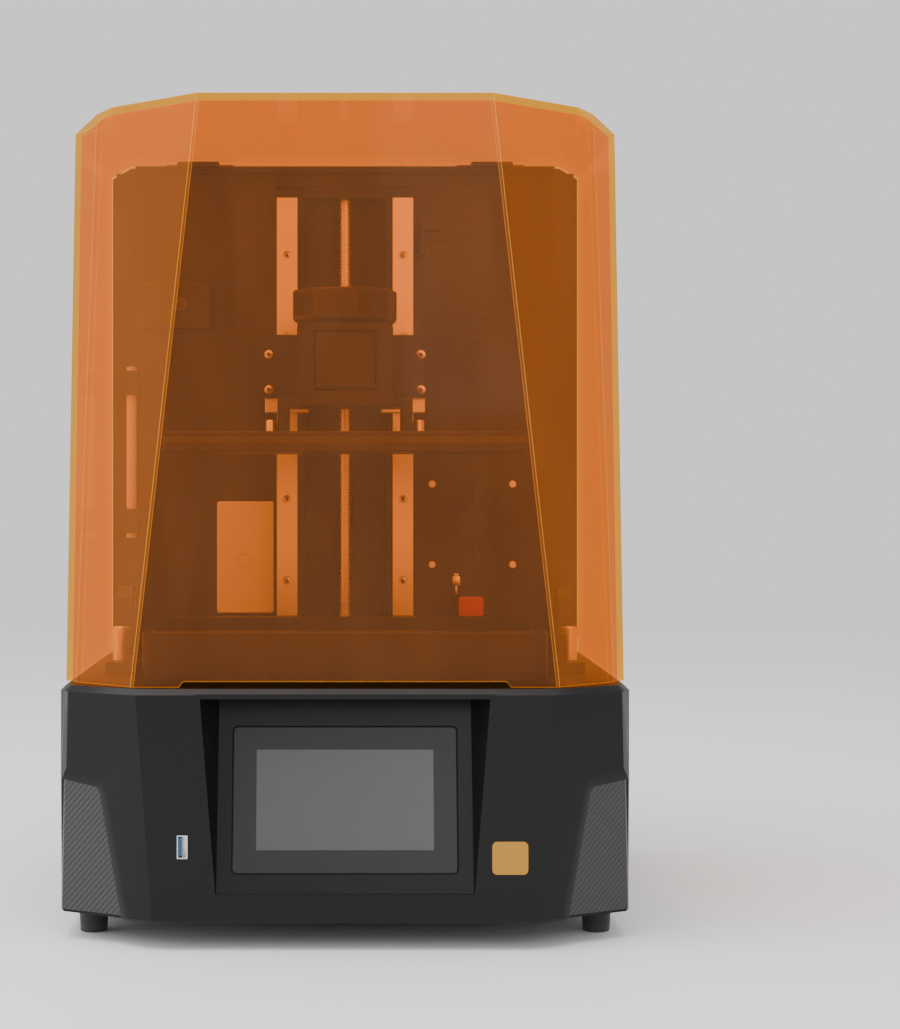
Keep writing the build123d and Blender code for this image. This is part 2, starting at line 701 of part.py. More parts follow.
with BuildPart() as release_film:
    with BuildSketch(Plane.XY.offset(FILM_LOW)):
        with Locations((0, VAT_Y)):
            RectangleRounded(VAT_W - 4, VAT_D - 4, 8)
    extrude(amount=FILM_THICK)
save("release_film", release_film.part)


def vat_screw(x):
    """A captive thumb screw with a tall turned head."""
    with BuildPart() as screw:
        rod(x, VAT_SCREW_Y, 154, 170 + PLAY, 3)
        rod(x, VAT_SCREW_Y, 170 + PLAY, 190, 5.2)
        rod(x, VAT_SCREW_Y, 187, 193, 6.2)
        chamfer(screw.faces().sort_by(Axis.Z)[-1].edges(), 0.8)
    return screw.part


save("vat_screw_left", vat_screw(-VAT_SCREW_X))
save("vat_screw_right", vat_screw(VAT_SCREW_X))

# ---------------------------------------------------------------- back wall and what it carries

PANEL_HALF = 159.7
PANEL_TOP = 513.4
BACK_HALF = 175.4
BACK_TOP = HOOD_TOP - HOOD_WALL - 1
BACK_THICK = 3

# The hood's facets, given by three points each on the outer surface of the right side
hood_corner = facet(
    (133.7, FRONT + 8, BASE_TOP),
    (92.6, FRONT + 8, HOOD_TOP - 2.5),
    (171.5, FRONT + 42.5, BASE_TOP),
)
hood_side_bevel = facet(
    (171.5, FRONT + 42.5, BASE_TOP),
    (HOOD_HALF, FRONT + 60, BASE_TOP),
    (161.8, FRONT + 70.4, HOOD_TOP - 10.1),
)
crown_corner = facet(
    (150.7, FRONT + 61.3, HOOD_TOP),
    (161.8, FRONT + 70.4, HOOD_TOP - 10.1),
    (179, FRONT + 106, HOOD_TOP - 10.1),
)
crown_side = facet(
    (HOOD_HALF - 17, FRONT + 100, HOOD_TOP),
    (HOOD_HALF, FRONT + 100, HOOD_TOP - 10.1),
    (HOOD_HALF, FRONT + 200, HOOD_TOP - 10.1),
)


hood_facets = [hood_corner, hood_side_bevel, crown_corner, crown_side]

FAN_X = 96
FAN_Z = 258.6
FAN_HOLES = 60.8
FAN_SIDE = 70
with BuildPart() as back_panel:
    add(
        cut_block(
            (-BACK_HALF, BACK_Y, BASE_TOP),
            (BACK_HALF, BACK_Y + BACK_THICK, BACK_TOP),
            [crown_side],
            HOOD_WALL + 1,
        )
    )
    with Locations(Plane(origin=(FAN_X, BACK_Y, FAN_Z), z_dir=(0, -1, 0))):
        Cylinder(33, 20, mode=Mode.SUBTRACT)
save("back_panel", back_panel.part)

with BuildPart() as inner_panel:
    block((-PANEL_HALF, PANEL_Y, BASE_TOP + 3), (PANEL_HALF, BACK_Y, PANEL_TOP))
    with Locations(Plane(origin=(FAN_X, PANEL_Y, FAN_Z), z_dir=(0, -1, 0))):
        with PolarLocations(20, 16):
            Box(16, 3, 10, mode=Mode.SUBTRACT)
save("inner_panel", inner_panel.part)

TOWER_HALF = 173
TOWER_WALL = 2.5
TOWER_FRONT = BACK_Y + BACK_THICK
TOWER_FRONT_Z = 524
TOWER_REAR_Z = 507


def tower_height(y):
    """How high the sloping top of the rear housing is at a depth."""
    share = (y - TOWER_FRONT) / (REAR - TOWER_FRONT)
    return TOWER_FRONT_Z + share * (TOWER_REAR_Z - TOWER_FRONT_Z)


tower_slope = facet(
    (0, TOWER_FRONT, TOWER_FRONT_Z), (100, TOWER_FRONT, TOWER_FRONT_Z), (0, REAR, TOWER_REAR_Z)
)
with BuildPart() as rear_housing:
    add(
        cut_block(
            (-TOWER_HALF, TOWER_FRONT, BASE_TOP), (TOWER_HALF, REAR, HOOD_TOP), [tower_slope]
        )
    )
    fillet(rear_housing.edges().filter_by(Axis.Z).group_by(Axis.Y)[-1], 8)
    add(
        cut_block(
            (-TOWER_HALF + TOWER_WALL, TOWER_FRONT - 1, BASE_TOP + TOWER_WALL),
            (TOWER_HALF - TOWER_WALL, REAR - TOWER_WALL, HOOD_TOP),
            [tower_slope],
            TOWER_WALL,
        ),
        mode=Mode.SUBTRACT,
    )
    with BuildSketch(Plane.XZ.offset(-REAR)):
        with Locations((0, 440)):
            with GridLocations(0, 9, 1, 9):
                SlotOverall(150, 4)
        with Locations((FAN_X, FAN_Z)):
            with GridLocations(0, 7, 1, 9):
                SlotOverall(60, 3.6)
    extrude(amount=10, both=True, mode=Mode.SUBTRACT)
save("rear_housing", rear_housing.part)


def fan_frame(plane, side, thickness, bore, screw_pitch):
    """A square fan frame that stands back from the plane."""
    with BuildPart() as frame:
        with BuildSketch(plane):
            RectangleRounded(side, side, 3)
            Circle(bore, mode=Mode.SUBTRACT)
            with GridLocations(screw_pitch, screw_pitch, 2, 2):
                Circle(2.1, mode=Mode.SUBTRACT)
        extrude(amount=thickness)
        with BuildSketch(plane):
            Circle(bore * 0.42)
            with PolarLocations(bore * 0.7, 4):
                Rectangle(bore * 0.7, 3)
        extrude(amount=2)
    return frame.part


def fan_rotor(plane, thickness, radius, blades):
    """A fan's hub and blades, standing back from the plane."""
    with BuildPart() as rotor:
        with BuildSketch(plane.offset(3)):
            Circle(radius * 0.42)
        extrude(amount=thickness - 5)
        with Locations(plane.offset(thickness / 2)):
            with PolarLocations(radius * 0.68, blades):
                Box(radius * 0.6, thickness * 0.72, 1.4, rotation=(38, 0, 0))
    return rotor.part


chamber_fan_plane = Plane(origin=(FAN_X, TOWER_FRONT, FAN_Z), x_dir=(1, 0, 0), z_dir=(0, 1, 0))
save("chamber_fan_frame", fan_frame(chamber_fan_plane, FAN_SIDE, 15, 33, 60))
save("chamber_fan_rotor", fan_rotor(chamber_fan_plane, 15, 32, 7))

REAR_FAN_THICK = 25
rear_fan_plane = Plane(
    origin=(REAR_FAN_X, REAR - BASE_WALL - REAR_FAN_THICK, REAR_FAN_Z), x_dir=(1, 0, 0), z_dir=(0, 1, 0)
)
save("rear_fan_frame", fan_frame(rear_fan_plane, REAR_FAN, REAR_FAN_THICK, 38, 71.5))
save("rear_fan_rotor", fan_rotor(rear_fan_plane, REAR_FAN_THICK, 37, 7))

BAR_X = -160.2
BAR_Y = FRONT + 289
BAR_R = 3.7
BAR_ENDS = ((355.6, 374, 378.5), (270.7, 252.3, 247.1))
with BuildPart() as light_bar_brackets:
    for near, far, tab in BAR_ENDS:
        low, high = sorted((near, far))
        block((BAR_X - 5.6, BAR_Y - 5.6, low), (BAR_X + 5.6, PANEL_Y, high))
        low, high = sorted((far, tab))
        block((BAR_X - 2.8, PANEL_Y - 3, low), (BAR_X + 2.8, PANEL_Y, high))
    rod(BAR_X, BAR_Y, 240, 390, BAR_R, mode=Mode.SUBTRACT)
save("light_bar_brackets", light_bar_brackets.part)

with BuildPart() as light_bar_tube:
    rod(BAR_X, BAR_Y, 249, 377, BAR_R)
save("light_bar_tube", light_bar_tube.part)

CAMERA_X = (-157, -100)
CAMERA_Z = (405, 439)
LENS_X = -122
LENS_Z = 423
CAMERA_FRONT = FRONT + 279
with BuildPart() as camera_housing:
    block((CAMERA_X[0], CAMERA_FRONT, CAMERA_Z[0]), (CAMERA_X[1], PANEL_Y, CAMERA_Z[1]))
    fillet(camera_housing.edges().filter_by(Axis.Y), 3)
    chamfer(camera_housing.faces().sort_by(Axis.Y)[0].edges(), 1)
    with BuildSketch(Plane.XZ.offset(-CAMERA_FRONT)):
        with Locations((-144, LENS_Z - 1)):
            with GridLocations(0, 4, 1, 5):
                SlotOverall(15, 1.6)
        with Locations((LENS_X, LENS_Z)):
            Circle(5)
    extrude(amount=-3, mode=Mode.SUBTRACT)
save("camera_housing", camera_housing.part)

with BuildPart() as camera_lens:
    with Locations(Plane(origin=(LENS_X, CAMERA_FRONT + 3, LENS_Z), z_dir=(0, -1, 0))):
        Cylinder(5, 4.2, align=(Align.CENTER, Align.CENTER, Align.MIN))
    fillet(camera_lens.faces().sort_by(Axis.Y)[0].edges(), 1.2)
save("camera_lens", camera_lens.part)

FILTER_X = (-96.4, -53.4)
FILTER_Z = (192, 276)
with BuildPart() as filter_cover:
    block(
        (FILTER_X[0], PANEL_Y - PLAY - 3.6, FILTER_Z[0]),
        (FILTER_X[1], PANEL_Y - PLAY, FILTER_Z[1]),
    )
    fillet(filter_cover.edges().filter_by(Axis.Y), 2)
    fillet(filter_cover.faces().sort_by(Axis.Y)[0].edges(), 0.8)
    with BuildSketch(Plane.XZ.offset(-(PANEL_Y - PLAY - 3.6))):
        with Locations((-75.8, 231.5)):
            Circle(5.3)
            Circle(4.5, mode=Mode.SUBTRACT)
    extrude(amount=-0.6, mode=Mode.SUBTRACT)
save("filter_cover", filter_cover.part)

with BuildPart() as panel_screws:
    with Locations(Plane(origin=(FAN_X, PANEL_Y, FAN_Z), z_dir=(0, -1, 0))):
        with GridLocations(FAN_HOLES, FAN_HOLES, 2, 2):
            Cylinder(2.8, 1.6, align=(Align.CENTER, Align.CENTER, Align.MIN))
    fillet(panel_screws.faces().group_by(Axis.Y)[0].edges(), 0.6)
save("panel_screws", panel_screws.part)

with BuildPart() as endstop_sensor:
    block((56, RAIL_FRONT + 10, 459), (59, PANEL_Y, 486.6))
    block((59, RAIL_FRONT + 10, 478), (70, RAIL_FRONT + 24, 486.6))
save("endstop_sensor", endstop_sensor.part)

with BuildPart() as resin_sensor:
    block((85, PANEL_Y - 12, 190), (104, PANEL_Y, 204.4))
    fillet(resin_sensor.edges().filter_by(Axis.Y), 2)
save("resin_sensor", resin_sensor.part)

CATCH_X = (158, 169.5)
CATCH_Y = (FRONT + 272, PANEL_Y)
CATCH_HIGH = 213
CATCH_BEVEL = 8
with BuildPart() as hood_catches:
    block((CATCH_X[0], CATCH_Y[0], BASE_TOP), (CATCH_X[1], CATCH_Y[1], CATCH_HIGH))
    chamfer(hood_catches.edges().filter_by(Axis.X).group_by(Axis.Z)[-1].sort_by(Axis.Y)[0], CATCH_BEVEL)
    mirror(about=Plane.YZ)
save("hood_catches", hood_catches.part)

# ---------------------------------------------------------------- hood

CUT_HALF = 100.7
CUT_H = 3.6
ARM_X = (95, 125)
ARM_FRONT = FRONT + 275
ARM_NOTCH = FRONT + 290
ARM_LOW = 526
WEB_LOW = HINGE_Z + 0.5
with BuildPart() as hood_shell:
    add(cut_block((-HOOD_HALF, HOOD_FRONT, HOOD_LOW), (HOOD_HALF, HOOD_REAR, HOOD_TOP), hood_facets))
    add(
        cut_block(
            (-HOOD_INNER, HOOD_FRONT + HOOD_WALL, HOOD_LOW - 1),
            (HOOD_INNER, HOOD_REAR + 1, HOOD_TOP - HOOD_WALL),
            hood_facets,
            HOOD_WALL,
        ),
        mode=Mode.SUBTRACT,
    )
    with BuildSketch(Plane.XZ.offset(-HOOD_FRONT)):
        with BuildLine():
            Polyline(
                (-CUT_HALF - CUT_H, HOOD_LOW - 1),
                (CUT_HALF + CUT_H, HOOD_LOW - 1),
                (CUT_HALF, HOOD_LOW + CUT_H),
                (-CUT_HALF, HOOD_LOW + CUT_H),
                close=True,
            )
        make_face()
    extrude(amount=10, both=True, mode=Mode.SUBTRACT)
    for x_low, x_high in (ARM_X, (-ARM_X[1], -ARM_X[0])):
        hollow((x_low, ARM_NOTCH, HOOD_TOP - HOOD_WALL - 1), (x_high, HOOD_REAR + 1, HOOD_TOP + 1))
save("hood_shell", hood_shell.part)

# ---------------------------------------------------------------- hood hinge, along the top of the rear housing

with BuildPart() as hood_hinge_arms:
    with BuildSketch(Plane.YZ.offset(ARM_X[0])):
        with BuildLine():
            Polyline(
                (ARM_FRONT, ARM_LOW),
                (HOOD_REAR - PLAY, ARM_LOW),
                (HOOD_REAR - PLAY, WEB_LOW),
                (HINGE_Y, WEB_LOW),
                (HINGE_Y, HINGE_Z + BARREL_R),
                (ARM_NOTCH, HINGE_Z + BARREL_R),
                (ARM_NOTCH, HOOD_TOP - HOOD_WALL),
                (ARM_FRONT, HOOD_TOP - HOOD_WALL),
                close=True,
            )
        make_face()
        with Locations((HINGE_Y, HINGE_Z)):
            Circle(BARREL_R)
            Circle(HINGE_PIN_R + RUN, mode=Mode.SUBTRACT)
    extrude(amount=ARM_X[1] - ARM_X[0])
    mirror(about=Plane.YZ)
save("hood_hinge_arms", hood_hinge_arms.part)

KNUCKLE = 10
KNUCKLE_REAR = HINGE_Y + 11
with BuildPart() as hinge_blocks:
    for x in (ARM_X[0] - PLAY - KNUCKLE, ARM_X[1] + PLAY):
        with BuildSketch(Plane.YZ.offset(x)):
            with BuildLine():
                Polyline(
                    (HINGE_Y - BARREL_R, tower_height(HINGE_Y - BARREL_R)),
                    (KNUCKLE_REAR, tower_height(KNUCKLE_REAR)),
                    (HINGE_Y + BARREL_R, HINGE_Z),
                    (HINGE_Y - BARREL_R, HINGE_Z),
                    close=True,
                )
            make_face()
            with Locations((HINGE_Y, HINGE_Z)):
                Circle(BARREL_R)
                Circle(HINGE_PIN_R, mode=Mode.SUBTRACT)
        extrude(amount=KNUCKLE)
    mirror(about=Plane.YZ)
save("hinge_blocks", hinge_blocks.part)

PIN_ENDS = (ARM_X[0] - PLAY - KNUCKLE, ARM_X[1] + PLAY + KNUCKLE)
PIN_HEAD_R = 3
with BuildPart() as hinge_pins:
    for low, high, radius in ((*PIN_ENDS, HINGE_PIN_R), (PIN_ENDS[1], PIN_ENDS[1] + 1.5, PIN_HEAD_R)):
        with BuildSketch(Plane.YZ.offset(low)):
            with Locations((HINGE_Y, HINGE_Z)):
                Circle(radius)
        extrude(amount=high - low)
    mirror(about=Plane.YZ)
save("hinge_pins", hinge_pins.part)

# ---------------------------------------------------------------- power and electronics

ROCKER_TILT = 10
ROCKER_PIN_R = 1.5
rocker_plane = Plane(
    origin=(INLET_X + 14.25, REAR - 5.5, INLET_Z),
    x_dir=(0, cos(radians(ROCKER_TILT)), sin(radians(ROCKER_TILT))),
    z_dir=(1, 0, 0),
)

with BuildPart() as power_inlet:
    block(
        (INLET_X - INLET_W / 2, REAR - 22, INLET_Z - INLET_H / 2),
        (INLET_X + INLET_W / 2, REAR, INLET_Z + INLET_H / 2),
    )
    chamfer(power_inlet.faces().sort_by(Axis.Y)[-1].edges(), 0.6)
    hollow((INLET_X - 20, REAR - 16, INLET_Z - 8.5), (INLET_X + 4.5, REAR + 1, INLET_Z + 8.5))
    hollow((INLET_X + 8, REAR - 15, INLET_Z - 10.5), (INLET_X + 20.5, REAR + 1, INLET_Z + 10.5))
    for dx, dz in ((-7.5, 3), (-14.5, -3), (-0.5, -3)):
        block((INLET_X + dx - 1.2, REAR - 16.5, INLET_Z + dz - 2), (INLET_X + dx + 1.2, REAR - 7, INLET_Z + dz + 2))
    with Locations(rocker_plane):
        Cylinder(ROCKER_PIN_R, 12.5)
save("power_inlet", power_inlet.part)

with BuildPart() as power_rocker:
    with BuildSketch(rocker_plane):
        with BuildLine():
            Polyline((-4, -7), (3.2, -9), (2.4, 0), (3.2, 9), (-4, 7), close=True)
        make_face()
        Circle(ROCKER_PIN_R + RUN, mode=Mode.SUBTRACT)
    extrude(amount=5.7, both=True)
save("power_rocker", power_rocker.part)

BOARD_LOW = 28
BOARD_HIGH = 29.6
CHIPS = (  # left, right, front, rear and height above the board
    (-140, -124, 240, 256, 6.4),
    (-110, -86, 250, 274, 2.4),
    (-60, -34, 230, 246, 10.4),
)
with BuildPart() as mainboard:
    block((-150, FRONT + 222, BOARD_LOW), (-30, FRONT + 322, BOARD_HIGH))
    for left, right, near, far, rise in CHIPS:
        block((left, FRONT + near, BOARD_HIGH), (right, FRONT + far, BOARD_HIGH + rise))
    for x in (-146, -34):
        for y in (FRONT + 226, FRONT + 318):
            rod(x, y, BASE_LOW + 3, BOARD_LOW, 3)
save("mainboard", mainboard.part)

SUPPLY_X = 95
SUPPLY_Y = FRONT + 277.5
SUPPLY_HIGH = BASE_LOW + 37
with BuildPart() as power_supply:
    block((SUPPLY_X - 55, SUPPLY_Y - 57.5, BASE_LOW + 3), (SUPPLY_X + 55, SUPPLY_Y + 57.5, SUPPLY_HIGH))
    with Locations((SUPPLY_X, SUPPLY_Y, SUPPLY_HIGH)):
        with GridLocations(8, 8, 10, 10):
            Cylinder(2, 4, mode=Mode.SUBTRACT)
save("power_supply", power_supply.part)
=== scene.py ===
"""The looks of a desktop resin printer: its finishes, its finely shaped pieces, the floor, the light and the camera."""

import json
from math import cos, pi, radians

import bmesh
import bpy
from mathutils import Matrix, Vector


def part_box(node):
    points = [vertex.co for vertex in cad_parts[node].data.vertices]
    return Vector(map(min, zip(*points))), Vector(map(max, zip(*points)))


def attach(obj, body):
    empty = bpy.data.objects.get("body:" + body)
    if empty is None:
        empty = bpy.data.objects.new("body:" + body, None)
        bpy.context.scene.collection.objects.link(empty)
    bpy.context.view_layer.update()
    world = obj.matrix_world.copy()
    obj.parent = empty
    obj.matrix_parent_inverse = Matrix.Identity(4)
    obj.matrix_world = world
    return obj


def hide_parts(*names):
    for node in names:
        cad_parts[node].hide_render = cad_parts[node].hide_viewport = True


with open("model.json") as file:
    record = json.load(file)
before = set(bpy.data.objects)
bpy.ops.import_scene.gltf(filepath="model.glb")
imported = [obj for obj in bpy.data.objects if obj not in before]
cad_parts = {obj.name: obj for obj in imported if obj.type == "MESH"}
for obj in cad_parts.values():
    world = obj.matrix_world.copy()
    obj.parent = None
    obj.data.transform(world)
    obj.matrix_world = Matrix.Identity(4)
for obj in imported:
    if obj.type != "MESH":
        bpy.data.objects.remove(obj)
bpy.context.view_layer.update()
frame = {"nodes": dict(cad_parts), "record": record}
cad = frame["nodes"]

# ---------------------------------------------------------------- camera

VIEW_FROM = (0, -1.540, 0.2884)
LENS = 76.4  # millimetres
SHIFT = (0.102, -0.0287)  # sets the printer left of the middle

camera = bpy.data.objects.new("camera", bpy.data.cameras.new("camera"))
bpy.context.scene.collection.objects.link(camera)
camera.location = VIEW_FROM
camera.rotation_euler = (radians(90), 0, 0)
camera.data.lens = LENS
camera.data.shift_x, camera.data.shift_y = SHIFT
bpy.context.scene.camera = camera

# ---------------------------------------------------------------- how finishes are written


class Value:
    """What comes out of a shader node. Sums written with it add Math nodes."""

    def __init__(self, tree, socket):
        self.tree = tree
        self.socket = socket

    def node(self, kind, settings=None, sockets=None, output=0):
        """Any other node: its settings first, then the values and links of its sockets."""
        made = self.tree.nodes.new("ShaderNode" + kind)
        for name, value in (settings or {}).items():
            setattr(made, name, value)
        for name, value in (sockets or {}).items():
            if isinstance(value, Value):
                self.tree.links.new(value.socket, made.inputs[name])
            else:
                made.inputs[name].default_value = value
        return Value(self.tree, made.outputs[output]) if made.outputs else made

    def sum(self, operation, *values):
        return self.node("Math", {"operation": operation}, dict(enumerate(values)))

    def __add__(self, other):
        return self.sum("ADD", self, other)

    def __radd__(self, other):
        return self.sum("ADD", other, self)

    def __sub__(self, other):
        return self.sum("SUBTRACT", self, other)

    def __rsub__(self, other):
        return self.sum("SUBTRACT", other, self)

    def __mul__(self, other):
        return self.sum("MULTIPLY", self, other)

    def __rmul__(self, other):
        return self.sum("MULTIPLY", other, self)

    def __truediv__(self, other):
        return self.sum("DIVIDE", self, other)

    def __lt__(self, other):
        return self.sum("LESS_THAN", self, other)

    def __gt__(self, other):
        return self.sum("GREATER_THAN", self, other)


def shade(grey):
    """A grey as a colour."""
    return (grey, grey, grey, 1)


def start(name):
    """A new finish, and the place on the object that its patterns read."""
    material = bpy.data.materials.new(name)
    material.use_nodes = True
    tree = material.node_tree
    tree.nodes.clear()
    place = Value(tree, tree.nodes.new("ShaderNodeTexCoord").outputs["Object"])
    return material, place


def speckle(place, size, detail=2, stretch=(1, 1, 1)):
    """Soft noise whose blotches are about size metres across, drawn out along an axis by a small stretch there."""
    if stretch != (1, 1, 1):
        place = place.node("Mapping", sockets={"Vector": place, "Scale": stretch})
    return place.node("TexNoise", sockets={"Vector": place, "Scale": 1 / size, "Detail": detail})


def darker_and_lighter(colour, darker, lighter):
    """The two ends that a finish's colour varies between."""
    return tuple(c * darker for c in colour) + (1,), tuple(min(1, c * lighter) for c in colour) + (1,)


def between(share, a, b):
    """A colour between two others."""
    return share.node("Mix", {"data_type": "RGBA", "clamp_factor": True}, {0: share, 6: a, 7: b}, output=2)


def part_of(place, axis):
    """How far a place lies along one axis."""
    return place.node("SeparateXYZ", sockets={0: place}, output="XYZ".index(axis))


def dented(height, depth, strength=1):
    """The surface's normal after a height between 0 and 1 has raised it by up to depth metres."""
    return height.node("Bump", sockets={"Height": height, "Distance": depth, "Strength": strength})


def done(material, place, **sockets):
    """Ends a finish with an opaque surface."""
    names = {
        "base": "Base Color", "rough": "Roughness", "metal": "Metallic", "normal": "Normal",
        "coat": "Coat Weight", "coat_rough": "Coat Roughness", "specular": "Specular IOR Level",
        "sheen": "Sheen Weight",
    }
    surface = place.node("BsdfPrincipled", sockets={names[k]: v for k, v in sockets.items()})
    place.node("OutputMaterial", sockets={"Surface": surface})
    return material


def moulded_plastic(name, colour, rough, grain=0.0006, depth=0.00005, mottle=0.14, specular=0.5):
    """Spark textured plastic: a fine grain, slow changes of gloss, and faint rubbing."""
    material, place = start(name)
    fine = speckle(place, grain, 3)
    slow = speckle(place, 0.09, 2)
    rubbed = speckle(place, 0.012, 4, (1, 1, 0.3))
    low, high = darker_and_lighter(colour, 1 - mottle, 1 + mottle)
    return done(
        material, place,
        base=between(fine * 0.6 + slow * 0.4, low, high),
        rough=rough + (fine - 0.5) * 0.12 + (slow - 0.5) * 0.1 - (rubbed > 0.66) * 0.03,
        normal=dented(fine, depth, 0.5),
        specular=specular,
    )


def powder_coat(name, colour, rough):
    """Baked powder paint, with its orange peel."""
    material, place = start(name)
    peel = place.node("TexVoronoi", {"feature": "SMOOTH_F1"}, {"Vector": place, "Scale": 900})
    fine = speckle(place, 0.0004)
    low, high = darker_and_lighter(colour, 0.8, 1.25)
    return done(
        material, place,
        base=between(fine, low, high),
        rough=rough + (fine - 0.5) * 0.15,
        normal=dented(peel + fine * 0.4, 0.00006, 0.5),
    )


def metal(name, colour, rough, along, lines=0.00035, metallic=1.0, tarnish=0.12):
    """Ground or brushed metal, with fine lines along one axis and a slow change of tone."""
    material, place = start(name)
    stretch = tuple(0.02 if axis == along else 1 for axis in "XYZ")
    line = speckle(place, lines, 3, stretch)
    slow = speckle(place, 0.03, 3)
    low, high = darker_and_lighter(colour, 1 - tarnish, 1 + tarnish)
    return done(
        material, place,
        base=between(line * 0.5 + slow * 0.5, low, high),
        rough=rough + (line - 0.5) * 0.18 + (slow - 0.5) * 0.12,
        metal=metallic,
        normal=dented(line, 0.000012, 0.4),
    )


def anodised(name, colour, rough):
    """Bead blasted and dyed aluminium."""
    material, place = start(name)
    blast = speckle(place, 0.00025, 2)
    slow = speckle(place, 0.05, 2)
    low, high = darker_and_lighter(colour, 0.82, 1.2)
    return done(
        material, place,
        base=between(blast * 0.7 + slow * 0.3, low, high),
        rough=rough + (blast - 0.5) * 0.16 + (slow - 0.5) * 0.06,
        metal=0.85,
        normal=dented(blast, 0.00002, 0.5),
    )


def glossy(name, colour, rough, coat=0.6):
    """Smooth moulded or lacquered surface, with faint wipe marks in the gloss."""
    material, place = start(name)
    wipe = speckle(place, 0.006, 4, (1, 1, 0.15))
    slow = speckle(place, 0.05, 2)
    low, high = darker_and_lighter(colour, 0.93, 1.07)
    return done(
        material, place,
        base=between(slow, low, high),
        rough=rough + (wipe - 0.5) * 0.05 + (slow - 0.5) * 0.04,
        coat=coat,
        coat_rough=0.08,
        normal=dented(wipe, 0.000006, 0.3),
    )


TOW = 0.001  # the width of one carbon tow
FACET_RUN = (0.909, 0.418)  # the way along the corner facet, in width and depth


def carbon_weave(name):
    """A lacquered two by two twill: each tow goes over two and under two, one step further on in each row."""
    material, place = start(name)
    x, y, z = (part_of(place, axis) for axis in "XYZ")
    across = (x * FACET_RUN[0] + x.sum("SIGN", x) * y * FACET_RUN[1]) / TOW
    up = z / TOW
    column, row = across.sum("FLOOR", across), up.sum("FLOOR", up)
    step = column.sum("FLOORED_MODULO", column - row, 4)
    weft = step < 1.5
    across_tow, up_tow = across - column, up - row
    crown_up = up_tow.sum("SINE", up_tow * pi)
    crown_across = across_tow.sum("SINE", across_tow * pi)
    crown = weft * crown_up + (1 - weft) * crown_across
    fibres = speckle(place, 0.0002, 3)
    bright = between(crown * 0.7 + fibres * 0.3, shade(0.006), shade(0.034))
    dark = between(fibres, shade(0.002), shade(0.006))
    return done(
        material, place,
        base=between(weft, dark, bright),
        rough=0.42 - weft * 0.1 + (fibres - 0.5) * 0.12,
        metal=0.25,
        coat=0.35,
        coat_rough=0.12,
        normal=dented(crown + fibres * 0.15, 0.00018, 0.7),
    )


def rubber(name):
    """Matt rubber with a dusting of bloom and a few scuffs low down."""
    material, place = start(name)
    fine = speckle(place, 0.0005, 3)
    scuff = speckle(place, 0.003, 5, (1, 1, 4))
    low = part_of(place, "Z") < 0.004
    return done(
        material, place,
        base=between(fine * 0.5 + low * 0.3, shade(0.006), shade(0.03)),
        rough=0.72 + (scuff - 0.5) * 0.2,
        normal=dented(fine + scuff * 0.5, 0.00006, 0.5),
        sheen=0.15,
    )


DOT = 0.00018  # sets the spacing of the display's dots


def touch_panel(name):
    """A dark display behind matt glass, switched off, with a hint of finger marks."""
    material, place = start(name)
    marks = speckle(place, 0.011, 5)
    dots_x, dots_z = (part_of(place, axis) / DOT for axis in "XZ")
    dots = dots_x.sum("SINE", dots_x) * dots_z.sum("SINE", dots_z)
    return done(
        material, place,
        base=between(marks * 0.5 + dots * 0.1 + 0.2, shade(0.036), shade(0.046)),
        rough=0.34 + (marks > 0.6) * 0.05 + (marks - 0.5) * 0.08,
        normal=dented(speckle(place, 0.0003), 0.000006, 0.3),
        coat=0.15,
        coat_rough=0.3,
    )


def see_through(name, tint, body, haze, rough, gloss=0.5, ior=1.49, painted_glow=0.0):
    """Clear or tinted plastic: light passes straight through, tinted, with a little haze and an edgewise gloss. Any
    emission strength above nought makes the face shine by itself in its body colour, which is painted light.
    """
    material, place = start(name)
    wipe = speckle(place, 0.02, 4, (1, 1, 0.2))
    slow = speckle(place, 0.11, 2)
    edgewise = place.node("Fresnel", sockets={"IOR": ior})
    clear = place.node("BsdfTransparent", sockets={"Color": (*tint, 1)})
    face = place.node(
        "BsdfPrincipled",
        sockets={
            "Base Color": between(slow, *darker_and_lighter(body, 0.9, 1.1)),
            "Roughness": rough + (wipe - 0.5) * 0.05,
            "Normal": dented(wipe, 0.00001, 0.2),
            "IOR": ior,
            "Coat Weight": 0.4,
            "Coat Roughness": 0.03,
            "Emission Color": (*body, 1),
            "Emission Strength": painted_glow,
        },
    )
    share = haze + edgewise * gloss + (wipe - 0.5) * 0.03
    mixed = place.node("MixShader", sockets={0: share, 1: clear, 2: face})
    place.node("OutputMaterial", sockets={"Surface": mixed})
    return material


HIGHLIGHT_BAND_BELOW, HIGHLIGHT_BAND_ABOVE = 0.0012, 0.0032  # the lighter strip painted round the plate's edge as a highlight, measured from the middle of the plate's edge


def plate_finish(name):
    """The print surface: blasted black aluminium, smoother and with fine lines round its edge, where a lighter strip of
    colour is a painted highlight.
    """
    material, place = start(name)
    blast = speckle(place, 0.0003, 3)
    z = part_of(place, "Z")
    low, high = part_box("build_plate")
    middle = (low.z + high.z) / 2
    # the strip round the plate's edge: its lighter colour is a painted highlight, its lower roughness and lines are
    # real finish
    painted_highlight_band = (z > middle - HIGHLIGHT_BAND_BELOW) * (z < middle + HIGHLIGHT_BAND_ABOVE)
    lines = speckle(place, 0.0004, 3, (0.02, 0.02, 1))
    return done(
        material, place,
        base=between(painted_highlight_band, between(blast, shade(0.018), shade(0.035)), between(lines, shade(0.035), shade(0.06))),
        rough=0.5 + (blast - 0.5) * 0.2 - painted_highlight_band * 0.12,
        metal=0.7,
        normal=dented(blast + lines * 0.3, 0.00003, 0.6),
    )


BOARD_TOP = 0.0298


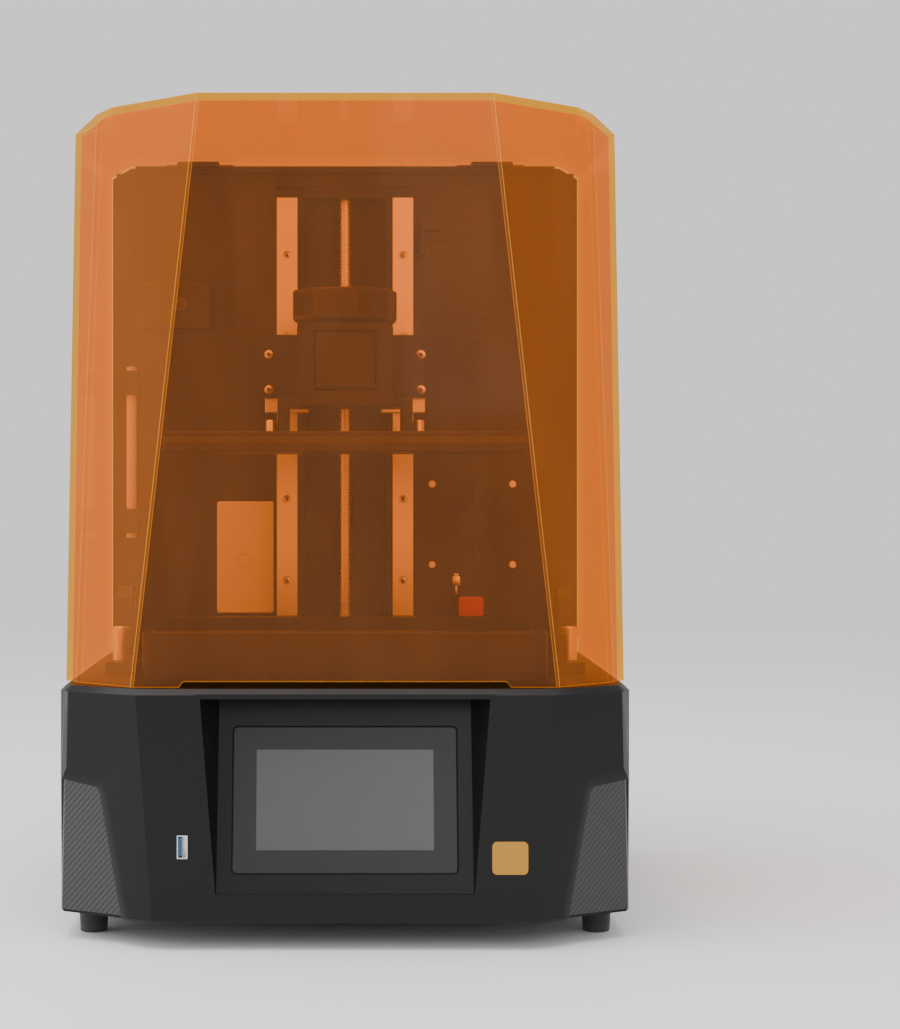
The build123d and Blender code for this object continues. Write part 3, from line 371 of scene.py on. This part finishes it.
def circuit_board(name):
    """Green lacquer over copper runs, with dark parts standing on it."""
    material, place = start(name)
    runs = place.node("TexBrick", sockets={"Vector": place, "Scale": 160, "Color1": shade(0), "Color2": shade(1)})
    fine = speckle(place, 0.001, 3)
    high = part_of(place, "Z") > BOARD_TOP
    share = runs.node("RGBToBW", sockets={0: runs}) * 0.7 + fine * 0.3
    lacquer = between(share, (0.004, 0.05, 0.02, 1), (0.02, 0.12, 0.04, 1))
    return done(
        material, place,
        base=between(high, lacquer, shade(0.02)),
        rough=0.3 + (fine - 0.5) * 0.15 + high * 0.15,
        normal=dented(fine, 0.00004, 0.4),
    )


finishes = {
    "housing_black": moulded_plastic("moulded black", (0.0048, 0.0048, 0.0050), 0.35, specular=0.2),
    "vent_weave": carbon_weave("carbon weave"),
    "black_steel": powder_coat("black powder coat", (0.006, 0.006, 0.0065), 0.45),
    "foot_rubber": rubber("foot rubber"),
    "bezel_grey": moulded_plastic("screen surround", (0.0165, 0.0165, 0.017), 0.36, 0.0004, 0.00002, specular=0.25),
    "screen_glass": touch_panel("touch panel"),
    "lcd_glass": glossy("display glass", (0.006, 0.006, 0.009), 0.08, 1.0),
    "bare_steel": metal("ground steel", (0.78, 0.77, 0.75), 0.34, "Z"),
    "port_steel": metal("nickel plate", (0.62, 0.62, 0.60), 0.22, "X", tarnish=0.06),
    "port_blue": moulded_plastic("blue contact block", (0.004, 0.07, 0.22), 0.35),
    "badge_gold": metal("gold plate", (0.42, 0.20, 0.022), 0.45, "Z", lines=0.0002, metallic=0.5, tarnish=0.06),
    "black_anodised": anodised("black anodised", (0.020, 0.020, 0.022), 0.42),
    "bare_aluminium": metal("machined aluminium", (0.62, 0.62, 0.64), 0.38, "X"),
    "vat_aluminium": anodised("dark anodised vat", (0.028, 0.028, 0.031), 0.40),
    "film_clear": see_through("release film", (0.96, 0.97, 0.98), (0.6, 0.62, 0.65), 0.06, 0.12),
    "hood_orange": see_through("tinted hood", (1.0, 0.655, 0.06), (0.80, 0.38, 0.17), 0.045, 0.06, 0.14),
    "panel_black": moulded_plastic("black lining", (0.008, 0.008, 0.0085), 0.45, 0.0008, specular=0.35),
    "white_plastic": moulded_plastic("white cover", (0.72, 0.72, 0.70), 0.42, 0.0006, 0.00003, 0.05),
    "lamp_glass": see_through("frosted lamp", (0.9, 0.9, 0.9), (0.85, 0.85, 0.82), 0.7, 0.4),
    "lens_glass": glossy("lens glass", (0.004, 0.004, 0.006), 0.04, 1.0),
    "sensor_red": glossy("red sensor", (0.5, 0.02, 0.01), 0.25),
    "board_green": circuit_board("circuit board"),
    "led_white": glossy("lens board", (0.7, 0.7, 0.68), 0.2),
    "fan_black": moulded_plastic("fan plastic", (0.012, 0.012, 0.012), 0.4),
}
# The finish for the hood's rounded edges: a more opaque orange that also shines by itself, a painted highlight along
# each edge.
hood_edge_painted_highlight = see_through("hood edge painted highlight", (1.0, 0.7, 0.15), (1.0, 0.47, 0.03), 0.5, 0.12, 0.1, painted_glow=0.35)
build_surface = plate_finish("print surface")
foam = moulded_plastic("foam seal", (0.006, 0.006, 0.006), 0.85, 0.0015, 0.0003)

for row in frame["record"]["subparts"]:
    mesh = cad[row["node"]].data
    mesh.materials.clear()
    mesh.materials.append(finishes[row["material_slot"]])
cad["build_plate"].data.materials[0] = build_surface

# ---------------------------------------------------------------- how pieces are made


def smoothed(bm, sharp=35):
    """Rounds the shading over shallow edges, and keeps the steep ones crisp."""
    for face in bm.faces:
        face.smooth = True
    for edge in bm.edges:
        edge.smooth = edge.calc_face_angle(0) < radians(sharp)


def piece(bm, name, body, materials, stands_for=(), turn_out=True):
    """Makes the finished shape an object that rides on a body and has its finish."""
    if turn_out:
        bmesh.ops.recalc_face_normals(bm, faces=bm.faces)
    mesh = bpy.data.meshes.new(name)
    bm.to_mesh(mesh)
    bm.free()
    for material in materials:
        mesh.materials.append(material)
    obj = bpy.data.objects.new(name, mesh)
    bpy.context.scene.collection.objects.link(obj)
    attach(obj, body)
    if stands_for:
        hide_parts(*stands_for)
    return obj


def merged_copy(node):
    """A CAD node's mesh with its triangles joined up into whole faces."""
    bm = bmesh.new()
    bm.from_mesh(cad[node].data)
    bmesh.ops.remove_doubles(bm, verts=bm.verts, dist=1e-5)
    bmesh.ops.dissolve_limit(bm, angle_limit=radians(0.6), verts=bm.verts, edges=bm.edges)
    return bm


def rounded(bm, edges, offset, segments=2):
    """Rounds edges over, and gives back the faces that this makes."""
    return bmesh.ops.bevel(
        bm, geom=list(edges), offset=offset, segments=segments, profile=0.5,
        affect="EDGES", material=-1, clamp_overlap=True,
    )["faces"]


def box_in(bm, low, high):
    """A box from corner to corner."""
    size = Vector(high) - Vector(low)
    made = bmesh.ops.create_cube(bm, size=1)["verts"]
    bmesh.ops.scale(bm, vec=size, verts=made)
    bmesh.ops.translate(bm, vec=(Vector(low) + Vector(high)) / 2, verts=made)
    return made


def edges_of(verts):
    """Every edge that ends on one of the vertices."""
    return list({edge for vert in verts for edge in vert.link_edges})


def verts_in(geometry):
    """The vertices in what a bmesh operator gives back."""
    return [part for part in geometry if isinstance(part, bmesh.types.BMVert)]


def edges_in(geometry):
    """The edges in what a bmesh operator gives back."""
    return [part for part in geometry if isinstance(part, bmesh.types.BMEdge)]


def steeper_than(bm, angle):
    """The edges whose two faces meet at more than an angle in degrees."""
    return [e for e in bm.edges if len(e.link_faces) == 2 and e.calc_face_angle(0) > radians(angle)]


SOCKET_SIDES = 6
HEAD_SIDES = 24
HEAD_CHAMFER = 0.86  # the width left at the top of a head
HEAD_CROWN = 0.09  # how far the chamfer rises, in heights of the drum
SOCKET_DEPTH = 0.6  # in heights of the drum


def socket_screw(bm, head, normal, radius, height, hexagon):
    """A cap screw's head: a chamfered drum that stands on the point head, with a six-sided socket."""
    turn = Vector((0, 0, 1)).rotation_difference(Vector(normal)).to_matrix().to_4x4()
    drum = bmesh.ops.create_cone(
        bm, cap_ends=False, segments=HEAD_SIDES, radius1=radius, radius2=radius, depth=height
    )["verts"]
    bmesh.ops.translate(bm, vec=(0, 0, height / 2), verts=drum)
    rim = [v for v in drum if v.co.z > height * 0.9]
    rim_edges = [e for e in edges_of(rim) if all(v in rim for v in e.verts)]
    foot = [e for e in edges_of(drum) if all(v not in rim for v in e.verts)]
    bmesh.ops.edgeloop_fill(bm, edges=foot)
    chamfer = bmesh.ops.extrude_edge_only(bm, edges=rim_edges)["geom"]
    inner = verts_in(chamfer)
    bmesh.ops.scale(bm, vec=(HEAD_CHAMFER, HEAD_CHAMFER, 1), verts=inner)
    bmesh.ops.translate(bm, vec=(0, 0, height * HEAD_CROWN), verts=inner)
    mouth = bmesh.ops.create_circle(bm, cap_ends=False, segments=SOCKET_SIDES, radius=hexagon)["verts"]
    bmesh.ops.translate(bm, vec=(0, 0, height * (1 + HEAD_CROWN)), verts=mouth)
    mouth_edges = edges_of(mouth)
    bmesh.ops.bridge_loops(bm, edges=edges_in(chamfer) + mouth_edges)
    well = bmesh.ops.extrude_edge_only(bm, edges=mouth_edges)["geom"]
    bmesh.ops.translate(bm, vec=(0, 0, -height * SOCKET_DEPTH), verts=verts_in(well))
    bmesh.ops.edgeloop_fill(bm, edges=edges_in(well))
    bmesh.ops.transform(bm, matrix=Matrix.Translation(head) @ turn, verts=drum + inner + mouth + verts_in(well))


def screws(name, body, slot, heads, normal, radius, height, hexagon, stands_for=()):
    """A set of cap screws, all facing the same way."""
    bm = bmesh.new()
    for head in heads:
        socket_screw(bm, head, normal, radius, height, hexagon)
    smoothed(bm)
    return piece(bm, name, body, [finishes[slot]], stands_for)


# ---------------------------------------------------------------- hood

HOOD_ROUNDING = 0.0011
bm = merged_copy("hood_shell")
# The rounded edges take the second finish, which shines by itself: a painted highlight along each edge.
for face in rounded(bm, steeper_than(bm, 8), HOOD_ROUNDING):
    face.material_index = 1
piece(bm, "hood", "hood", [finishes["hood_orange"], hood_edge_painted_highlight], ["hood_shell"], turn_out=False)

# a seal inside the hood's rear edge
SEAL_HALF_WIDTH = 0.158
SEAL_DEPTH = 0.0065
SEAL_HEIGHT = 0.0055
HOOD_WALL = 0.004
low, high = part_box("hood_shell")
top = high.z - HOOD_WALL
bm = bmesh.new()
seal = box_in(
    bm, (-SEAL_HALF_WIDTH, high.y - SEAL_DEPTH, top - SEAL_HEIGHT), (SEAL_HALF_WIDTH, high.y - 0.0003, top - 0.0001)
)
rounded(bm, edges_of(seal), 0.001)
piece(bm, "hood_seal", "hood", [foam])

# ---------------------------------------------------------------- rounded corners

slots = {row["node"]: row["material_slot"] for row in frame["record"]["subparts"]}
ROUNDED = {  # each node's body, and the width that its edges are rounded to
    "chassis": {
        "base_housing": 0.0008, "touch_bezel": 0.0005, "z_column": 0.0006, "screw_bearings": 0.0005,
        "camera_housing": 0.0008, "endstop_sensor": 0.0006, "hood_catches": 0.0008, "light_bar_brackets": 0.0006,
        "back_panel": 0.0005, "inner_panel": 0.0004, "resin_sensor": 0.0006, "linear_rails": 0.0006,
    },
    "carriage": {"carriage_plate": 0.0006, "arm_bracket": 0.0008, "nut_block": 0.0005, "bearing_blocks": 0.0006},
    "platform": {"platform_bracket": 0.0008},
    "vat": {"vat_frame": 0.0009},
    "filter_cover": {"filter_cover": 0.0006},
}
for body, nodes in ROUNDED.items():
    for node, offset in nodes.items():
        bm = merged_copy(node)
        rounded(bm, steeper_than(bm, 28), offset)
        smoothed(bm, 50)
        slot = slots[node]
        copy = piece(bm, node + "_rounded", body, [finishes[slot]], [node], turn_out=False)
        copy.modifiers.new("flat faces stay flat", "WEIGHTED_NORMAL").keep_sharp = True

# ---------------------------------------------------------------- lift screw

LEAD = 0.004
CREST, ROOT = 0.005, 0.0041
JOURNAL = 0.00395
THREAD_LOW, THREAD_HIGH = 0.190, 0.500
THREAD_STEPS = 20  # in one turn
GROOVE = [(0, CREST), (0.00065, CREST), (0.00095, ROOT), (0.0017, ROOT)]  # rise and radius; two starts
low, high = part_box("ball_screw")
axis_y = (low.y + high.y) / 2
bm = bmesh.new()
points = GROOVE + [(rise + LEAD / 2, radius) for rise, radius in GROOVE] + [(LEAD, CREST)]
line = [bm.verts.new((radius, axis_y, THREAD_LOW - LEAD + rise)) for rise, radius in points]
for below, above in zip(line, line[1:]):
    bm.edges.new((below, above))
turns = round((THREAD_HIGH - THREAD_LOW) / LEAD) + 2
bmesh.ops.spin(
    bm, geom=bm.verts[:] + bm.edges[:], cent=(0, axis_y, 0), axis=(0, 0, 1), dvec=(0, 0, LEAD / THREAD_STEPS),
    angle=2 * pi * turns, steps=THREAD_STEPS * turns, space=Matrix.Identity(4),
)
bmesh.ops.remove_doubles(bm, verts=bm.verts, dist=2e-6)
for z, outward in ((THREAD_LOW, (0, 0, -1)), (THREAD_HIGH, (0, 0, 1))):
    bmesh.ops.bisect_plane(
        bm, geom=bm.verts[:] + bm.edges[:] + bm.faces[:], plane_co=(0, axis_y, z), plane_no=outward, clear_outer=True
    )
bmesh.ops.holes_fill(bm, edges=[e for e in bm.edges if e.is_boundary])
for z_low, z_high in ((low.z, THREAD_LOW + 0.001), (THREAD_HIGH - 0.001, high.z)):
    journal = bmesh.ops.create_cone(
        bm, cap_ends=True, segments=24, radius1=JOURNAL, radius2=JOURNAL, depth=z_high - z_low
    )["verts"]
    bmesh.ops.translate(bm, vec=(0, axis_y, (z_low + z_high) / 2), verts=journal)
smoothed(bm, 50)
piece(bm, "lead_screw", "lift_screw", [finishes["bare_steel"]], ["ball_screw"])

# ---------------------------------------------------------------- clamp knob

KNOB_SIDES = 8
KNOB_RADIUS = 0.0365
KNOB_HEIGHT = 0.0223
KNOB_TURN = radians(11)
CORNER_ROUNDING, TOP_ROUNDING, BOTTOM_ROUNDING = 0.003, 0.0018, 0.0035
RIB_PITCH = 0.0033
RIB_HALF = 0.0007
RIB_LOW, RIB_HIGH = 0.0045, 0.0028  # how far the ribs stop short of the knob's bottom and top
RIB_ROOT = 0.001
STUD_RADIUS = 0.005
low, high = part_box("clamp_knob")
axis_y = (low.y + high.y) / 2
bottom = high.z - KNOB_HEIGHT
bm = bmesh.new()
disc = bmesh.ops.create_circle(bm, cap_ends=True, segments=KNOB_SIDES, radius=KNOB_RADIUS)["verts"]
bmesh.ops.rotate(bm, cent=(0, 0, 0), matrix=Matrix.Rotation(KNOB_TURN, 3, "Z"), verts=disc)
bmesh.ops.translate(bm, vec=(0, axis_y, bottom), verts=disc)
raised = bmesh.ops.extrude_face_region(bm, geom=bm.faces[:])["geom"]
bmesh.ops.translate(bm, vec=(0, 0, high.z - bottom), verts=verts_in(raised))
rounded(bm, [e for e in bm.edges if abs(e.verts[0].co.z - e.verts[1].co.z) > 0.01], CORNER_ROUNDING, 3)
rounded(bm, [e for e in bm.edges if all(v.co.z > high.z - 1e-5 for v in e.verts)], TOP_ROUNDING, 3)
rounded(bm, [e for e in bm.edges if all(v.co.z < bottom + 1e-5 for v in e.verts)], BOTTOM_ROUNDING, 3)
flat = KNOB_RADIUS * cos(pi / KNOB_SIDES)
ribs = []
for side in range(0, KNOB_SIDES, 2):
    turn = Matrix.Rotation(KNOB_TURN + 2 * pi / KNOB_SIDES * (side + 0.5), 3, "Z")
    for rib in range(-3, 4):
        across = rib * RIB_PITCH
        made = box_in(
            bm,
            (flat - RIB_ROOT, across - RIB_HALF, bottom + RIB_LOW),
            (flat + RIB_HALF, across + RIB_HALF, high.z - RIB_HIGH),
        )
        bmesh.ops.rotate(bm, cent=(0, 0, 0), matrix=turn, verts=made)
        bmesh.ops.translate(bm, vec=(0, axis_y, 0), verts=made)
        ribs += edges_of(made)
rounded(bm, ribs, 0.0004)
stud_top = bottom + 0.001
stud = bmesh.ops.create_cone(
    bm, cap_ends=True, segments=32, radius1=STUD_RADIUS, radius2=STUD_RADIUS, depth=stud_top - low.z
)["verts"]
bmesh.ops.translate(bm, vec=(0, axis_y, (stud_top + low.z) / 2), verts=stud)
smoothed(bm)
piece(bm, "knob", "clamp_knob", [finishes["panel_black"]], ["clamp_knob"])

# ---------------------------------------------------------------- screws

CARRIAGE_HEAD, RAIL_HEAD, PLATFORM_HEAD = 0.0032, 0.0029, 0.0034  # radii

low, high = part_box("carriage_screws")
middle_z = (low.z + high.z) / 2
reach = (high.z - low.z) / 2 - CARRIAGE_HEAD
columns = [side * (high.x - CARRIAGE_HEAD - inner * 2 * reach) for side in (-1, 1) for inner in (0, 1)]
screws(
    "carriage_cap_screws", "carriage", "bare_steel",
    [(x, high.y, middle_z + side * reach) for x in columns for side in (-1, 1)],
    (0, -1, 0), CARRIAGE_HEAD, 0.0029, 0.0014, ["carriage_screws"],
)
low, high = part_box("rail_screws")
first, last = low.z + RAIL_HEAD, high.z - RAIL_HEAD
screws(
    "rail_cap_screws", "chassis", "bare_steel",
    [(side * (high.x - RAIL_HEAD), high.y, first + (last - first) * k / 4) for side in (-1, 1) for k in range(5)],
    (0, -1, 0), RAIL_HEAD, 0.0029, 0.0013, ["rail_screws"],
)
low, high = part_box("platform_screws")
screws(
    "platform_cap_screws", "platform", "bare_steel",
    [
        (x, y, low.z)
        for x in (low.x + PLATFORM_HEAD, high.x - PLATFORM_HEAD)
        for y in (low.y + PLATFORM_HEAD, high.y - PLATFORM_HEAD)
    ],
    (0, 0, 1), PLATFORM_HEAD, 0.0076, 0.0016, ["platform_screws"],
)

# ---------------------------------------------------------------- small things inside

CLOTH_RADIUS = 0.0325
CLOTH_THICK = 0.0012
low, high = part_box("chamber_fan_rotor")
fan = (low + high) / 2
panel_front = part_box("back_panel")[0].y
bm = bmesh.new()
cloth = bmesh.ops.create_circle(bm, cap_ends=True, segments=64, radius=CLOTH_RADIUS)["verts"]
bmesh.ops.rotate(bm, cent=(0, 0, 0), matrix=Matrix.Rotation(radians(90), 3, "X"), verts=cloth)
bmesh.ops.translate(bm, vec=(fan.x, panel_front + 0.0004, fan.z), verts=cloth)
thick = bmesh.ops.extrude_face_region(bm, geom=bm.faces[:])["geom"]
bmesh.ops.translate(bm, vec=(0, CLOTH_THICK, 0), verts=verts_in(thick))
piece(bm, "filter_cloth", "chassis", [foam])

CLIP_X = 0.0838
CLIP_STEPS = [  # half width, bottom, top, and how far it stands out of the lining
    (0.003, 0.2125, 0.2195, 0.0035),
    (0.002, 0.2195, 0.2215, 0.0022),
    (0.001, 0.2060, 0.2125, 0.0015),
]
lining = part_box("inner_panel")[0].y
bm = bmesh.new()
for half, z_low, z_high, proud in CLIP_STEPS:
    made = box_in(bm, (CLIP_X - half, lining - proud, z_low), (CLIP_X + half, lining, z_high))
    rounded(bm, edges_of(made), 0.0004)
smoothed(bm, 50)
piece(bm, "sensor_clip", "chassis", [finishes["bare_steel"]])

# ---------------------------------------------------------------- floor, light and air

FLOOR_RADIUS = 14
FADE_FROM, FADE_TO = 0.9, 4.0  # the floor passes into the backdrop between these distances
bm = bmesh.new()
bmesh.ops.create_circle(bm, cap_ends=True, segments=96, radius=FLOOR_RADIUS)
floor_mesh = bpy.data.meshes.new("floor")
bm.to_mesh(floor_mesh)
bm.free()
floor = bpy.data.objects.new("floor", floor_mesh)
bpy.context.scene.collection.objects.link(floor)
material, place = start("pale floor")
face = place.node(
    "BsdfPrincipled",
    sockets={
        "Base Color": between(speckle(place, 0.6), shade(0.86), shade(0.89)),
        "Roughness": 0.6 + speckle(place, 0.2) * 0.1,
    },
)
far = place.node("VectorMath", {"operation": "LENGTH"}, {0: place}, output="Value")
fade = place.node("MapRange", {"interpolation_type": "SMOOTHSTEP"}, {0: far, 1: FADE_FROM, 2: FADE_TO})
away = place.node("BsdfTransparent")
place.node("OutputMaterial", sockets={"Surface": place.node("MixShader", sockets={0: fade, 1: face, 2: away})})
floor_mesh.materials.append(material)

world = bpy.data.worlds.new("studio")
bpy.context.scene.world = world
world.use_nodes = True
air = world.node_tree.nodes["Background"].inputs
air["Color"].default_value = shade(0.9)
air["Strength"].default_value = 1.12


MIDDLE = (0, 0, 0.3)


def softbox(name, where, size, power):
    """A rectangular studio light that faces the printer."""
    light = bpy.data.lights.new(name, "AREA")
    light.shape = "RECTANGLE"
    light.size, light.size_y = size
    light.energy = power
    obj = bpy.data.objects.new(name, light)
    obj.location = where
    obj.rotation_euler = (Vector(MIDDLE) - Vector(where)).to_track_quat("-Z", "Y").to_euler()
    bpy.context.scene.collection.objects.link(obj)


softbox("overhead", (-0.4, -0.5, 2.2), (2.0, 1.6), 45)
softbox("left side", (-2.2, -0.9, 1.2), (3.0, 2.6), 36)
softbox("front fill", (0.9, -2.6, 1.1), (1.8, 1.4), 20)
